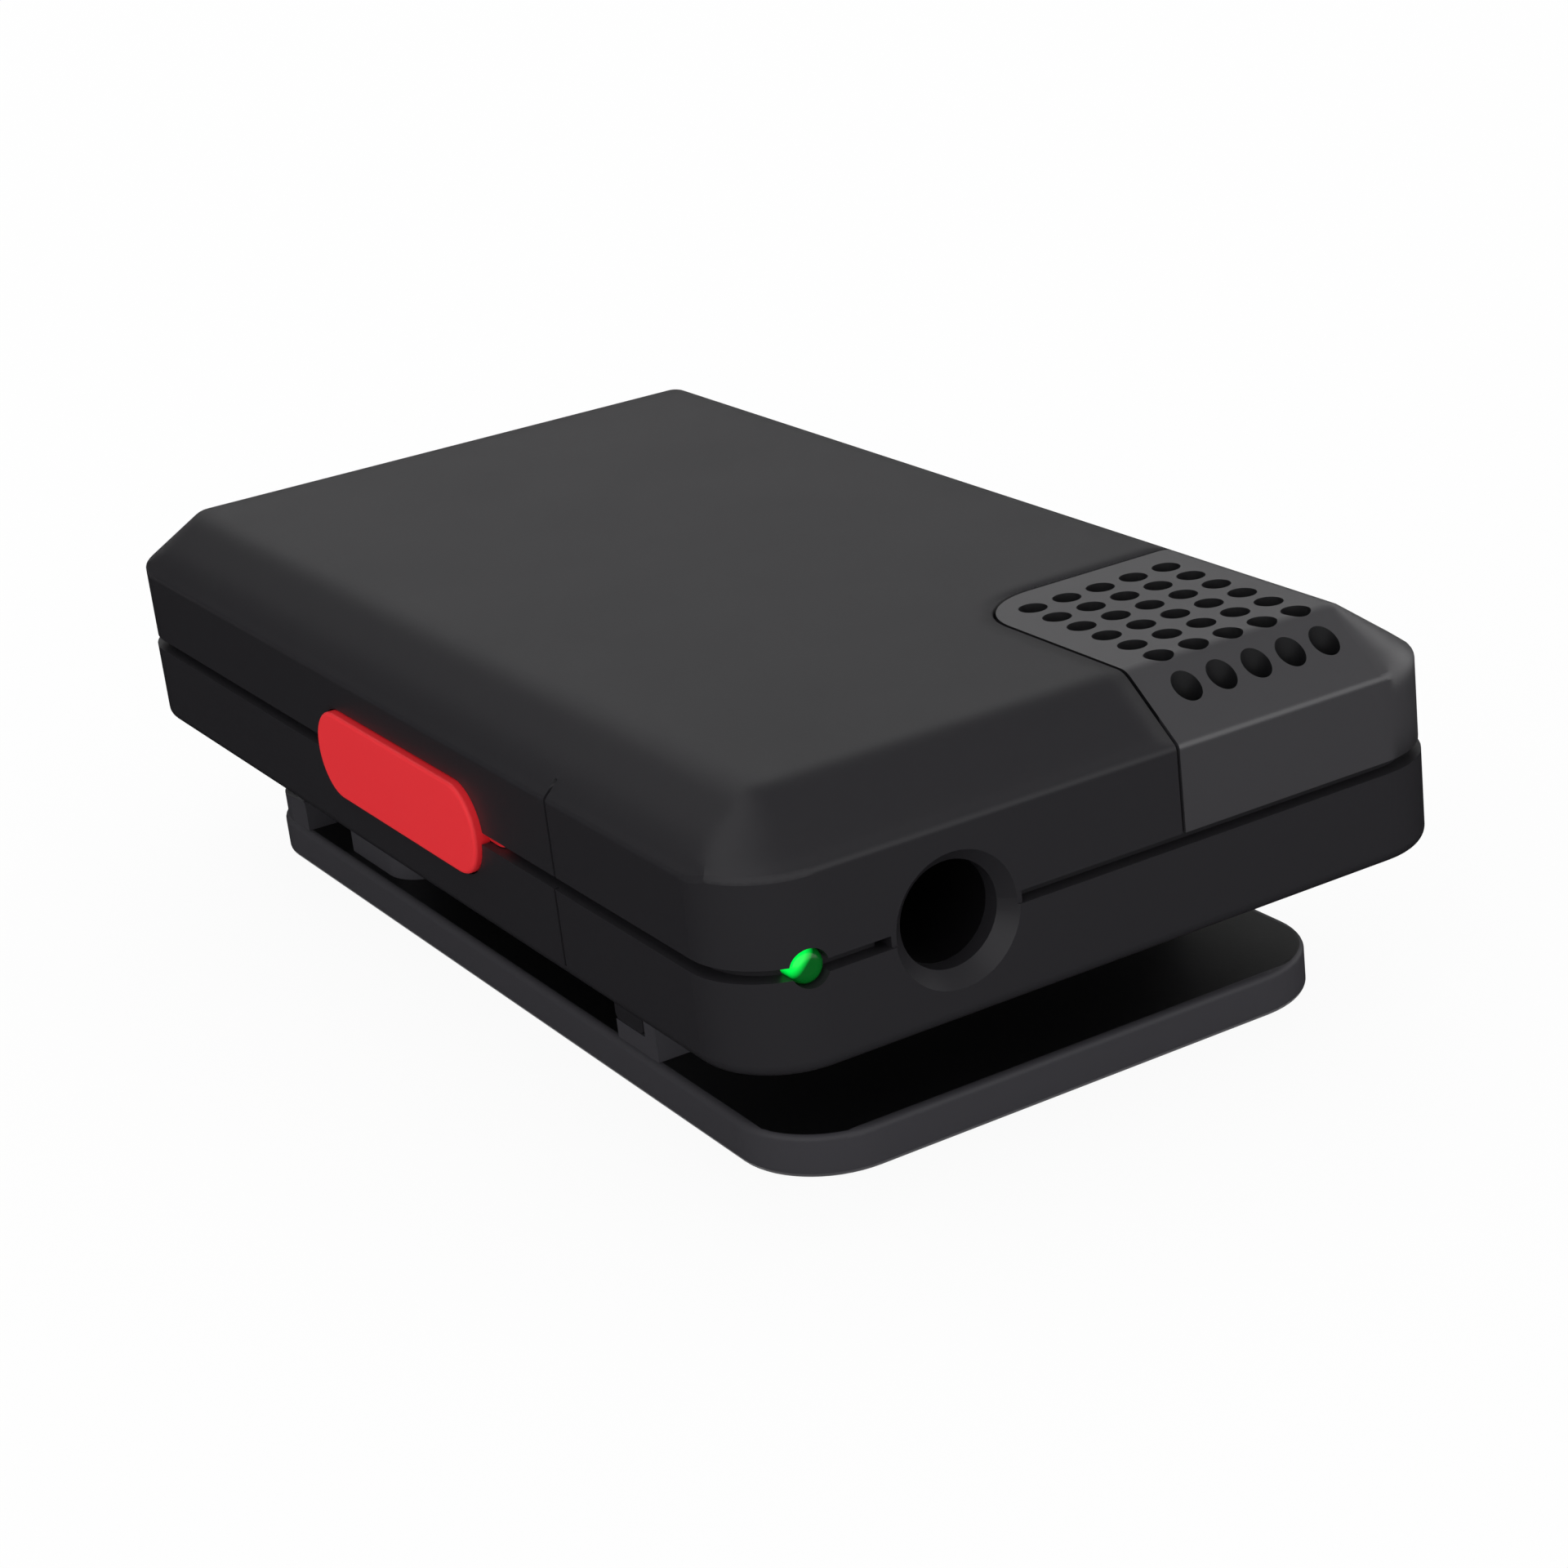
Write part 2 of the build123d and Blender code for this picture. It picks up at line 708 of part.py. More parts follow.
# ================================================================ 3.5 mm socket
jack_side = (jack_x - jack_width / 2, jack_x + jack_width / 2)
with BuildPart() as jack_socket:
    block(jack_side, (jack_front, jack_back), (floor_z, parting_z + jack_rise))
    chamfer(jack_socket.edges().filter_by(Axis.X).group_by(Axis.Z)[-1].sort_by(Axis.Y)[0], jack_nose)
    with BuildSketch(Plane.XZ.offset(-jack_front)):
        with Locations((jack_x, parting_z)):
            Circle(jack_bore_radius)
    extrude(amount=-jack_bore_depth, mode=Mode.SUBTRACT)

jack_socket.part.label = "jack_socket"
export_step(jack_socket.part, "parts/jack_socket.step")

# Four contacts: a blade up the side of the socket and a foot on the board
with BuildPart() as jack_contacts:
    for edge, way in zip(jack_side, (-1, 1)):
        for place in range(2):
            middle = jack_front + contact_inset + place * contact_pitch
            along = (middle - contact_width / 2, middle + contact_width / 2)
            blade = sorted((edge, edge + way * contact_thickness))
            foot = sorted((edge, edge + way * contact_foot))
            block(blade, along, (deck_z, deck_z + contact_rise))
            block(foot, along, (deck_z, deck_z + contact_thickness))

jack_contacts.part.label = "jack_contacts"
export_step(jack_contacts.part, "parts/jack_contacts.step")

# ================================================================ status light
light_front = case_length / 2 - light_recess
with BuildPart() as light_pipe:
    with BuildSketch(Plane.XY.offset(light_z - light_block_height / 2)):
        case_plan(wall + pass_clearance)
        with Locations((light_x, -inner_y)):
            Rectangle(light_block_width, 2 * light_block_depth, mode=Mode.INTERSECT)
    extrude(amount=light_block_height)
    with BuildSketch(Plane.XZ.offset(inner_y - light_block_depth)):
        with Locations((light_x, light_z)):
            Circle(light_radius)
    extrude(amount=light_front - inner_y + light_block_depth)
    fillet(light_pipe.edges().group_by(Axis.Y)[0], light_edge_round)

light_pipe.part.label = "light_pipe"
export_step(light_pipe.part, "parts/light_pipe.step")

led_front = -inner_y + light_block_depth + led_gap
with BuildPart() as status_led:
    led_side = (light_x - led_width / 2, light_x + led_width / 2)
    block(led_side, (led_front, led_front + led_depth), (deck_z, deck_z + led_height))

status_led.part.label = "status_led"
export_step(status_led.part, "parts/status_led.step")

# ================================================================ side button
button_face = -case_width / 2 - button_proud
button_back = button_face + button_thickness
flange_x = -inner_x + pass_clearance
with BuildPart() as side_button:
    with BuildSketch(Plane.YZ.offset(button_face)):
        with Locations((button_y, parting_z)):
            SlotOverall(button_length, button_height)
    extrude(amount=button_thickness)
    fillet(side_button.edges().group_by(Axis.X)[0], button_edge_round)
    # web in the parting groove, longer than the lozenge and round at its ends
    web_thickness = groove_height - 2 * web_clearance
    with BuildSketch(Plane.XY.offset(parting_z - web_thickness / 2)) as web:
        with Locations((button_back + web_depth / 2, button_y)):
            Rectangle(web_depth, button_length + 2 * web_overhang)
        fillet(web.vertices().group_by(Axis.X)[0], web_depth / 2)
        with Locations(((button_back + flange_x) / 2 + flange_thickness / 4, button_y)):
            Rectangle(flange_x - button_back + flange_thickness / 2, flange_length)
    extrude(amount=web_thickness)
    # flange behind the wall, and the stem that meets the switch
    along = (button_y - flange_length / 2, button_y + flange_length / 2)
    tall = (parting_z - flange_height / 2, parting_z + flange_height / 2)
    block((flange_x, flange_x + flange_thickness), along, tall)
    along = (button_y - stem_length / 2, button_y + stem_length / 2)
    block((flange_x, -inner_x + stem_reach), along, tall)

side_button.part.label = "side_button"
export_step(side_button.part, "parts/side_button.step")

plunger_front = -inner_x + stem_reach
plunger_side = (button_y - plunger_length / 2, button_y + plunger_length / 2)
plunger_tall = (parting_z - plunger_height / 2, parting_z + plunger_height / 2)
with BuildPart() as switch_plunger:
    block((plunger_front, plunger_front + plunger_reach), plunger_side, plunger_tall)

switch_plunger.part.label = "switch_plunger"
export_step(switch_plunger.part, "parts/switch_plunger.step")

switch_front = plunger_front + plunger_reach - plunger_seat
pocket = plunger_seat + button_travel + pass_clearance
with BuildPart() as tact_switch:
    along = (button_y - switch_length / 2, button_y + switch_length / 2)
    block((switch_front, switch_front + switch_depth), along, (deck_z, deck_z + switch_height))
    with Locations((switch_front + pocket / 2, button_y, parting_z)):
        Box(
            pocket,
            plunger_length + 2 * pass_clearance,
            plunger_height + 2 * pass_clearance,
            mode=Mode.SUBTRACT,
        )

tact_switch.part.label = "tact_switch"
export_step(tact_switch.part, "parts/tact_switch.step")

# ================================================================ charging socket
with BuildPart() as usb_shell:
    with BuildSketch(Plane.XZ.offset(-usb_start)):
        with Locations((0, parting_z)):
            RectangleRounded(usb_width, usb_height, usb_corner)
    extrude(amount=-usb_depth)
    with BuildSketch(Plane.XZ.offset(-usb_start - usb_back)):
        with Locations((0, parting_z)):
            RectangleRounded(
                usb_width - 2 * usb_wall, usb_height - 2 * usb_wall, usb_corner - usb_wall
            )
    extrude(amount=-usb_depth, mode=Mode.SUBTRACT)
    # solder tabs on the board
    for way in (-1, 1):
        for start in (usb_start, usb_start + usb_depth / 2):
            side = sorted((way * (usb_width / 2 - usb_wall), way * (usb_width / 2 + usb_tab_width)))
            along = (start, start + usb_tab_length)
            block(side, along, (deck_z, deck_z + usb_tab_thickness))

usb_shell.part.label = "usb_shell"
export_step(usb_shell.part, "parts/usb_shell.step")

with BuildPart() as usb_tongue:
    half = usb_tongue_width / 2
    tall = (parting_z - usb_tongue_height / 2, parting_z + usb_tongue_height / 2)
    block((-half, half), (usb_start + usb_back, usb_front - usb_tongue_recess), tall)
    fillet(usb_tongue.edges().filter_by(Axis.Z).group_by(Axis.Y)[-1], usb_tongue_round)

usb_tongue.part.label = "usb_tongue"
export_step(usb_tongue.part, "parts/usb_tongue.step")

# ================================================================ circuit board
with BuildPart() as main_board:
    with BuildSketch(Plane.XY.offset(board_z)):
        RectangleRounded(2 * board_half_x, 2 * board_half_y, board_corner)
        with Locations((jack_x, -case_length / 2)):
            Rectangle(
                jack_width + 2 * board_cut_gap,
                2 * (jack_back + board_cut_gap + case_length / 2),
                mode=Mode.SUBTRACT,
            )
        with Locations((0, case_length / 2)):
            Rectangle(
                usb_width + 2 * board_cut_gap,
                2 * (case_length / 2 - usb_start + board_cut_gap),
                mode=Mode.SUBTRACT,
            )
        with Locations(*screw_places):
            Circle(column_radius + board_hole_clearance, mode=Mode.SUBTRACT)
    extrude(amount=board_thickness)

main_board.part.label = "main_board"
export_step(main_board.part, "parts/main_board.step")

shield_y = board_half_y - shield_inset
chip_row_y = jack_back + chip_row_gap
crystal_x = shield_width / 2 + crystal_gap + crystal_length / 2
with BuildPart() as board_chips:
    with BuildSketch(Plane.XY.offset(deck_z)):
        with Locations((codec_x, chip_row_y)):
            Rectangle(codec_width, codec_width)
        with Locations((charger_x, chip_row_y)):
            Rectangle(charger_width, charger_width)
    extrude(amount=chip_height)
    with BuildSketch(Plane.XY.offset(deck_z)):
        with Locations((crystal_x, shield_y - crystal_offset)):
            Rectangle(crystal_length, crystal_width)
    extrude(amount=crystal_height)

board_chips.part.label = "board_chips"
export_step(board_chips.part, "parts/board_chips.step")

with BuildPart() as radio_chip:
    with BuildSketch(Plane.XY.offset(deck_z)):
        with Locations((0, shield_y)):
            Rectangle(radio_chip_width, radio_chip_width)
    extrude(amount=radio_chip_height)

radio_chip.part.label = "radio_chip"
export_step(radio_chip.part, "parts/radio_chip.step")

with BuildPart() as radio_shield:
    with Locations((0, shield_y, deck_z)):
        Box(shield_width, shield_length, shield_height, align=(Align.CENTER, Align.CENTER, Align.MIN))
        Box(
            shield_width - 2 * shield_sheet,
            shield_length - 2 * shield_sheet,
            shield_height - shield_sheet,
            align=(Align.CENTER, Align.CENTER, Align.MIN),
            mode=Mode.SUBTRACT,
        )

radio_shield.part.label = "radio_shield"
export_step(radio_shield.part, "parts/radio_shield.step")

with BuildPart() as antenna:
    with BuildSketch(Plane.XY.offset(deck_z)):
        with Locations((board_half_x - antenna_inset_x, board_half_y - antenna_inset_y)):
            Rectangle(antenna_length, antenna_width)
    extrude(amount=antenna_height)

antenna.part.label = "antenna"
export_step(antenna.part, "parts/antenna.step")

# ================================================================ battery
battery_z = roof_z - tape_thickness - battery_thickness
with BuildPart() as battery:
    half = battery_width / 2
    block((-half, half), (battery_front, battery_back), (battery_z, battery_z + battery_thickness))
    fillet(battery.edges().filter_by(Axis.Y), battery_round)
    fillet(battery.edges().filter_by(Axis.Z), battery_round)

battery.part.label = "battery"
export_step(battery.part, "parts/battery.step")

with BuildPart() as battery_tape:
    half = battery_width / 2 - tape_margin
    along = (battery_front + tape_margin, battery_back - tape_margin)
    block((-half, half), along, (roof_z - tape_thickness, roof_z))

battery_tape.part.label = "battery_tape"
export_step(battery_tape.part, "parts/battery_tape.step")

socket_back = battery_front - socket_gap
with BuildPart() as battery_socket:
    side = (socket_x - socket_width / 2, socket_x + socket_width / 2)
    block(side, (socket_back - socket_length, socket_back), (deck_z, deck_z + socket_height))

battery_socket.part.label = "battery_socket"
export_step(battery_socket.part, "parts/battery_socket.step")

# Two wires that drop from the cell to its socket
lead_z = battery_z + battery_thickness / 2
with BuildPart() as battery_leads:
    for lead_x in (socket_x - lead_spacing / 2, socket_x + lead_spacing / 2):
        middle = battery_front - socket_gap / 2
        with BuildLine() as lead_path:
            FilletPolyline(
                (lead_x, battery_front, lead_z),
                (lead_x, middle, lead_z),
                (lead_x, middle, lead_z - lead_drop),
                (lead_x, socket_back, lead_z - lead_drop),
                radius=lead_bend,
            )
        with BuildSketch(Plane.XZ.offset(-battery_front)):
            with Locations((lead_x, lead_z)):
                Circle(lead_radius)
        sweep(path=lead_path.line)

battery_leads.part.label = "battery_leads"
export_step(battery_leads.part, "parts/battery_leads.step")

# ================================================================ case screws
with BuildPart() as case_screws:
    one_screw = screw(
        screw_head_radius,
        screw_head_height,
        screw_radius,
        screw_length,
        case_z + screw_recess - screw_head_height,
    )
    with Locations(*screw_places):
        add(one_screw)

case_screws.part.label = "case_screws"
export_step(case_screws.part, "parts/case_screws.step")

# ================================================================ clip
lug_outer = arm_width / 2 - lug_inset
lug_inner = lug_outer - lug_thickness
pin_start = -lug_outer + pin_end_wall + pin_end_gap
pin_end = lug_outer - pin_end_gap
rib_x = arm_width / 2 - rib_inset
pad_front = tooth_back - tooth_thickness - tooth_side_gap - front_rib_thickness

# Thumb block at the back of the arm: it follows the plate's corners and slopes to the rear
with BuildPart() as thumb_block:
    with BuildSketch(Plane.YZ):
        with BuildLine():
            Polyline(
                (thumb_front, arm_round),
                (thumb_front, arm_thickness + thumb_height),
                (arm_back, arm_thickness + thumb_end_height),
                (arm_back, arm_round),
                close=True,
            )
        make_face()
    extrude(amount=arm_width, both=True)
    with BuildSketch():
        with Locations((0, (arm_front + arm_back) / 2)):
            RectangleRounded(
                arm_width - 2 * thumb_inset,
                arm_back - arm_front - 2 * thumb_inset,
                arm_corner - thumb_inset,
            )
    extrude(amount=arm_thickness + thumb_height, mode=Mode.INTERSECT)
    fillet(thumb_block.edges().filter_by(Axis.X).group_by(Axis.Z)[-1], rib_round)

# Hinge lugs, rounded over the top and at their outer front corners
with BuildPart() as lugs:
    with BuildSketch(Plane.XY.offset(arm_round)) as lug_plan:
        for way in (-1, 1):
            with Locations((way * (lug_inner + lug_outer) / 2, pin_y)):
                Rectangle(lug_thickness, lug_length)
        front_corners = lug_plan.vertices().group_by(Axis.Y)[0].sort_by(Axis.X)
        fillet((front_corners[0], front_corners[-1]), lug_corner)
    extrude(amount=arm_thickness + lug_height)
    with BuildSketch(Plane.YZ) as lug_side:
        with Locations((pin_y, 0)):
            Rectangle(lug_length, arm_thickness + lug_height, align=(Align.CENTER, Align.MIN))
        fillet(lug_side.vertices().group_by(Axis.Y)[-1], lug_top_round)
    extrude(amount=arm_width, both=True, mode=Mode.INTERSECT)

with BuildPart() as clip_arm:
    with BuildSketch():
        with Locations((0, (arm_front + arm_back) / 2)):
            RectangleRounded(arm_width, arm_back - arm_front, arm_corner)
    extrude(amount=arm_thickness)
    fillet(clip_arm.edges().filter_by(Plane.XY), arm_round)
    # pad and rib of the jaw
    block((-rib_x, rib_x), (pad_front, tooth_back), (arm_round, arm_thickness + pad_height))
    rib_back = pad_front + front_rib_thickness
    block((-rib_x, rib_x), (pad_front, rib_back), (arm_round, case_z - front_rib_gap))
    fillet(clip_arm.edges().filter_by(Axis.X).group_by(Axis.Z)[-1], rib_round)
    add(thumb_block.part)
    add(lugs.part)
    # pin hole, closed at one end
    with BuildSketch(Plane.YZ.offset(-lug_outer + pin_end_wall)):
        with Locations((pin_y, pin_z)):
            Circle(pin_radius + running_clearance)
    extrude(amount=2 * lug_outer, mode=Mode.SUBTRACT)

clip_arm.part.label = "clip_arm"
export_step(clip_arm.part, "parts/clip_arm.step")

ear_outer = lug_inner - ear_gap
ear_inner = ear_outer - ear_thickness
with BuildPart() as clip_base:
    with BuildSketch(Plane.XY.offset(case_z - base_thickness)):
        with Locations((0, base_front + base_length / 2)):
            RectangleRounded(2 * ear_outer, base_length, base_corner)
    extrude(amount=base_thickness)
    for way in (-1, 1):
        with BuildSketch(Plane.YZ.offset(way * ear_inner)):
            with Locations((pin_y, pin_z)):
                Circle(ear_radius)
                Rectangle(
                    2 * ear_radius,
                    case_z - base_thickness - pin_z,
                    align=(Align.CENTER, Align.MIN),
                )
                Circle(pin_radius, mode=Mode.SUBTRACT)
        extrude(amount=way * ear_thickness)
    with BuildSketch(Plane.XY.offset(case_z - base_thickness)):
        with Locations(*clip_screw_places):
            Circle(clip_screw_head_radius + screw_clearance)
    extrude(amount=clip_screw_head_height + screw_clearance, mode=Mode.SUBTRACT)
    with BuildSketch(Plane.XY.offset(case_z - base_thickness)):
        with Locations(*clip_screw_places):
            Circle(clip_screw_radius + pass_clearance)
    extrude(amount=base_thickness, mode=Mode.SUBTRACT)

clip_base.part.label = "clip_base"
export_step(clip_base.part, "parts/clip_base.step")

with BuildPart() as clip_screws:
    one_screw = screw(
        clip_screw_head_radius,
        clip_screw_head_height,
        clip_screw_radius,
        clip_screw_length,
        case_z - base_thickness + screw_clearance,
    )
    with Locations(*clip_screw_places):
        add(one_screw)

clip_screws.part.label = "clip_screws"
export_step(clip_screws.part, "parts/clip_screws.step")

with BuildPart() as hinge_pin:
    with BuildSketch(Plane.YZ.offset(pin_start)):
        with Locations((pin_y, pin_z)):
            Circle(pin_radius)
    extrude(amount=pin_end - pin_start)
    chamfer(hinge_pin.edges().group_by(Axis.X)[0], pin_chamfer)
    chamfer(hinge_pin.edges().group_by(Axis.X)[-1], pin_chamfer)

hinge_pin.part.label = "hinge_pin"
export_step(hinge_pin.part, "parts/hinge_pin.step")

# Torsion spring round the pin.  Its legs run back along the foot and along the arm.
turns = coil_turns + 0.5
coil_start = -coil_pitch * turns / 2


def coil_point(turn):
    """A point of the wire's middle line, counted in turns from the lower leg."""
    angle = -pi / 2 - 2 * pi * turn
    y = pin_y + coil_radius * cos(angle)
    z = pin_z + coil_radius * sin(angle)
    return Vector(coil_start + coil_pitch * turn, y, z)


def coil_direction(turn):
    """The wire's direction at that point."""
    angle = -pi / 2 - 2 * pi * turn
    y = coil_radius * sin(angle)
    z = -coil_radius * cos(angle)
    return Vector(coil_pitch / (2 * pi), y, z).normalized()


def two_arcs(start, end, start_way, end_way):
    """Two tangent arcs between two points, with the given direction at each."""
    span = end - start
    both = start_way + end_way
    share = 2 * (1 - start_way.dot(end_way))
    along = span.dot(both)
    reach = (sqrt(along * along + share * span.dot(span)) - along) / share
    middle = (start + start_way * reach + end - end_way * reach) * 0.5
    TangentArc(start, middle, tangent=start_way)
    TangentArc(middle, end, tangent=end - end_way * reach - middle)


with BuildPart() as clip_spring:
    with BuildLine() as wire:
        Line(coil_point(0) - coil_direction(0) * coil_leg, coil_point(0))
        for step in range(round(4 * turns)):
            first = step / 4
            last = (step + 1) / 4
            two_arcs(
                coil_point(first), coil_point(last), coil_direction(first), coil_direction(last)
            )
        Line(coil_point(turns), coil_point(turns) + coil_direction(turns) * coil_leg)
    with BuildSketch(Plane(origin=wire.line @ 0, z_dir=wire.line % 0)):
        Circle(wire_diameter / 2)
    sweep(path=wire.line)

clip_spring.part.label = "clip_spring"
export_step(clip_spring.part, "parts/clip_spring.step")

# Least gap between neighbouring turns, on points half a turn or more apart
samples = [step / 24 for step in range(round(24 * turns) + 1)]
least = min(
    (coil_point(one) - coil_point(other)).length
    for one in samples
    for other in samples
    if other - one > 0.5
)
print(f"clip_spring: least gap to itself {least - wire_diameter:.3f} mm")
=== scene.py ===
"""Clip-on wireless lavalier microphone: the finishes of its pieces, the studio and the camera.

Lengths are in metres.  -Y is the end with the 3.5 mm socket and -X is the side with the button.
The case lies on the back of its clip arm, so the floor is at Z = 0.
"""

import math

import bpy
from mathutils import Matrix, Vector


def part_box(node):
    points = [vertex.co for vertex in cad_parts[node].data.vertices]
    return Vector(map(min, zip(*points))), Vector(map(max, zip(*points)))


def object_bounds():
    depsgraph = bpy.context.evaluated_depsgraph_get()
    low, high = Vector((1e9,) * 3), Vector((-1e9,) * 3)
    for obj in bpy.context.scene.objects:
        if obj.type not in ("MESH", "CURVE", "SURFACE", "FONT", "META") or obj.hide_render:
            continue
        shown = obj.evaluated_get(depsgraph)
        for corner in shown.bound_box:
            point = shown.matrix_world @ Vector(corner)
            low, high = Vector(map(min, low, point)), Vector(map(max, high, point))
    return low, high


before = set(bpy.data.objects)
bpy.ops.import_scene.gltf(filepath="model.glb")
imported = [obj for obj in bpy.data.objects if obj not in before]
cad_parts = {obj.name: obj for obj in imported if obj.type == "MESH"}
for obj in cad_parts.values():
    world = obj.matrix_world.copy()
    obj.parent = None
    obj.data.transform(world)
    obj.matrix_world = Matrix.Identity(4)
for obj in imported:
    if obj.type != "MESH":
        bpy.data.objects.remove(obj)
cad_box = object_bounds()
bpy.ops.object.select_all(action="DESELECT")

# ================================================================ shells of the case
# The upper and lower half of the case are injection moulded in black ABS.  They meet at the
# parting groove, and four screws from below pull them together.
MM = 0.001
SHELL_BLACK = "#232225"
SHELL_ROUGHNESS = 0.42
SHELL_REFLECTANCE = 0.3
MOULD_PIT = 0.12 * MM               # a pit of the mould; real ones are finer and wouldn't show
MOULD_DEPTH = 0.0015 * MM
COOLING_PATCH = 5.0 * MM            # where the plastic cooled unevenly, the gloss drifts
GLOSS_DRIFT = 0.008                 # by this much either way
NOISE_SPREAD = (0.3, 0.7)           # nearly all of a noise texture's values lie between these
EDGE_POLISH = 1.2 * MM              # radius that hand polishing of the mould gives an edge
EDGE_FADE = 0.15 * MM
EDGE_SAMPLES = 6
BEVEL_DEPTH = 1.8 * MM              # the polished edges lie this near to the top


def linear(colour):
    """An sRGB hex colour as the linear RGBA that a shader takes."""
    shades = [int(colour[i:i + 2], 16) / 255 for i in (1, 3, 5)]
    bright = [s / 12.92 if s <= 0.04045 else ((s + 0.055) / 1.055) ** 2.4 for s in shades]
    return (*bright, 1.0)


def add_node(material, kind, values=None, links=None, **settings):
    """Adds a shader node with its settings, its open inputs and its linked inputs."""
    node = material.node_tree.nodes.new(kind)
    for name, value in settings.items():
        setattr(node, name, value)
    for name, value in (values or {}).items():
        node.inputs[name].default_value = value
    for name, socket in (links or {}).items():
        material.node_tree.links.new(socket, node.inputs[name])
    return node


def new_finish(name, **values):
    """A material whose Principled shader has these plain values, and that shader."""
    material = bpy.data.materials.new(name)
    material.use_nodes = True
    shader = material.node_tree.nodes["Principled BSDF"]
    for socket, value in values.items():
        shader.inputs[socket.replace("_", " ")].default_value = value
    return material, shader


def vary_gloss(material, shader, place, patch, low, high):
    """Roughness that drifts between two values over patches of this width."""
    drift = add_node(
        material, "ShaderNodeTexNoise", {"Scale": 1 / patch, "Detail": 2.0}, {"Vector": place}
    )
    gloss = add_node(
        material,
        "ShaderNodeMapRange",
        {
            "From Min": NOISE_SPREAD[0],
            "From Max": NOISE_SPREAD[1],
            "To Min": low,
            "To Max": high,
        },
        {"Value": drift.outputs["Fac"]},
    )
    material.node_tree.links.new(gloss.outputs["Result"], shader.inputs["Roughness"])


def raise_surface(material, shader, height, depth):
    """Bump of this real depth from a height between 0 and 1."""
    bump = add_node(
        material, "ShaderNodeBump", {"Strength": 1.0, "Distance": depth}, {"Height": height}
    )
    material.node_tree.links.new(bump.outputs["Normal"], shader.inputs["Normal"])


def moulded(name, colour, roughness, reflectance, pit=MOULD_PIT, depth=MOULD_DEPTH):
    """Injection-moulded plastic: the pits of its mould, and gloss that drifts over the piece."""
    material, shader = new_finish(
        name, Base_Color=linear(colour), Specular_IOR_Level=reflectance
    )
    place = add_node(material, "ShaderNodeTexCoord").outputs["Object"]
    low, high = roughness - GLOSS_DRIFT, roughness + GLOSS_DRIFT
    vary_gloss(material, shader, place, COOLING_PATCH, low, high)
    pits = add_node(
        material, "ShaderNodeTexNoise", {"Scale": 1 / pit, "Detail": 3.0}, {"Vector": place}
    )
    raise_surface(material, shader, pits.outputs["Fac"], depth)
    return material


def soften_edges(material, axis, limit):
    """Shades the edges past this place along an axis as rounded over by polishing."""
    rounded = add_node(
        material, "ShaderNodeBevel", {"Radius": EDGE_POLISH}, samples=EDGE_SAMPLES
    ).outputs["Normal"]
    plain = add_node(material, "ShaderNodeNewGeometry").outputs["Normal"]
    place = add_node(material, "ShaderNodeTexCoord").outputs["Object"]
    along = add_node(material, "ShaderNodeSeparateXYZ", {}, {"Vector": place}).outputs[axis]
    past = add_node(
        material,
        "ShaderNodeMapRange",
        {"From Min": limit - EDGE_FADE, "From Max": limit + EDGE_FADE},
        {"Value": along},
    ).outputs["Result"]
    mixed = add_node(
        material, "ShaderNodeMix", {}, {0: past, 4: plain, 5: rounded}, data_type="VECTOR"
    ).outputs[1]
    bump = next(node for node in material.node_tree.nodes if node.type == "BUMP")
    material.node_tree.links.new(mixed, bump.inputs["Normal"])


def dress(material, *nodes):
    """Gives CAD nodes their finish."""
    for name in nodes:
        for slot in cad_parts[name].material_slots:
            slot.material = material


# The mould's fine spark-eroded pits scatter the gloss: wide soft highlights, no mirror image.
# Its upper corners are polished round, so the light turns softly from the top to the bevels.
shell_abs = moulded(
    "satin_black_abs", SHELL_BLACK, roughness=SHELL_ROUGHNESS, reflectance=SHELL_REFLECTANCE
)
soften_edges(shell_abs, "Z", cad_box[1][2] - BEVEL_DEPTH)
dress(shell_abs, "upper_shell", "lower_shell")

# ================================================================ microphone grille
# A separate cover over the microphone, moulded in a blend of ABS and polycarbonate with its
# holes in it, and set into the corner of the upper shell.  The walls of the holes are painted
# near black, a painted shade for the dark deep in the holes.
GRILLE_BLACK = "#343336"
# The near black below is painted shade for the walls of the holes, not the plastic's own colour.
HOLE_PAINTED_SHADE = "#131315"
OUTER_WALL = 1.0 * MM               # no hole and no seam lies nearer to the outside than this
CORNER_BEVEL = 2.6 * MM             # the bevelled corner past the holes
NOT_LOOKING_UP = (-2.0, 0.5)        # limits of the Z of a normal


def paint_shade_inside(material, low, high, upright, colour, outside):
    """Paints a second colour, a painted shade, on faces within this box of plan whose normal's Z is
    within these limits.
    """
    spot = add_node(material, "ShaderNodeTexCoord").outputs
    parts = add_node(material, "ShaderNodeSeparateXYZ", {}, {"Vector": spot["Object"]}).outputs
    x, y = parts["X"], parts["Y"]
    facing = add_node(material, "ShaderNodeSeparateXYZ", {}, {"Vector": spot["Normal"]}).outputs["Z"]
    tests = [(x, low[0], "GREATER_THAN"), (x, high[0], "LESS_THAN")]
    tests += [(y, low[1], "GREATER_THAN"), (y, high[1], "LESS_THAN")]
    tests += [(facing, upright[0], "GREATER_THAN"), (facing, upright[1], "LESS_THAN")]
    inside = None
    for value, limit, way in tests:
        test = add_node(material, "ShaderNodeMath", {1: limit}, {0: value}, operation=way).outputs[0]
        if inside is not None:
            test = add_node(
                material, "ShaderNodeMath", {}, {0: inside, 1: test}, operation="MULTIPLY"
            ).outputs[0]
        inside = test
    ramp = add_node(material, "ShaderNodeValToRGB", {}, {"Fac": inside})
    ramp.color_ramp.elements[0].color = linear(outside)
    ramp.color_ramp.elements[1].color = linear(colour)
    shader = material.node_tree.nodes["Principled BSDF"]
    material.node_tree.links.new(ramp.outputs["Color"], shader.inputs["Base Color"])


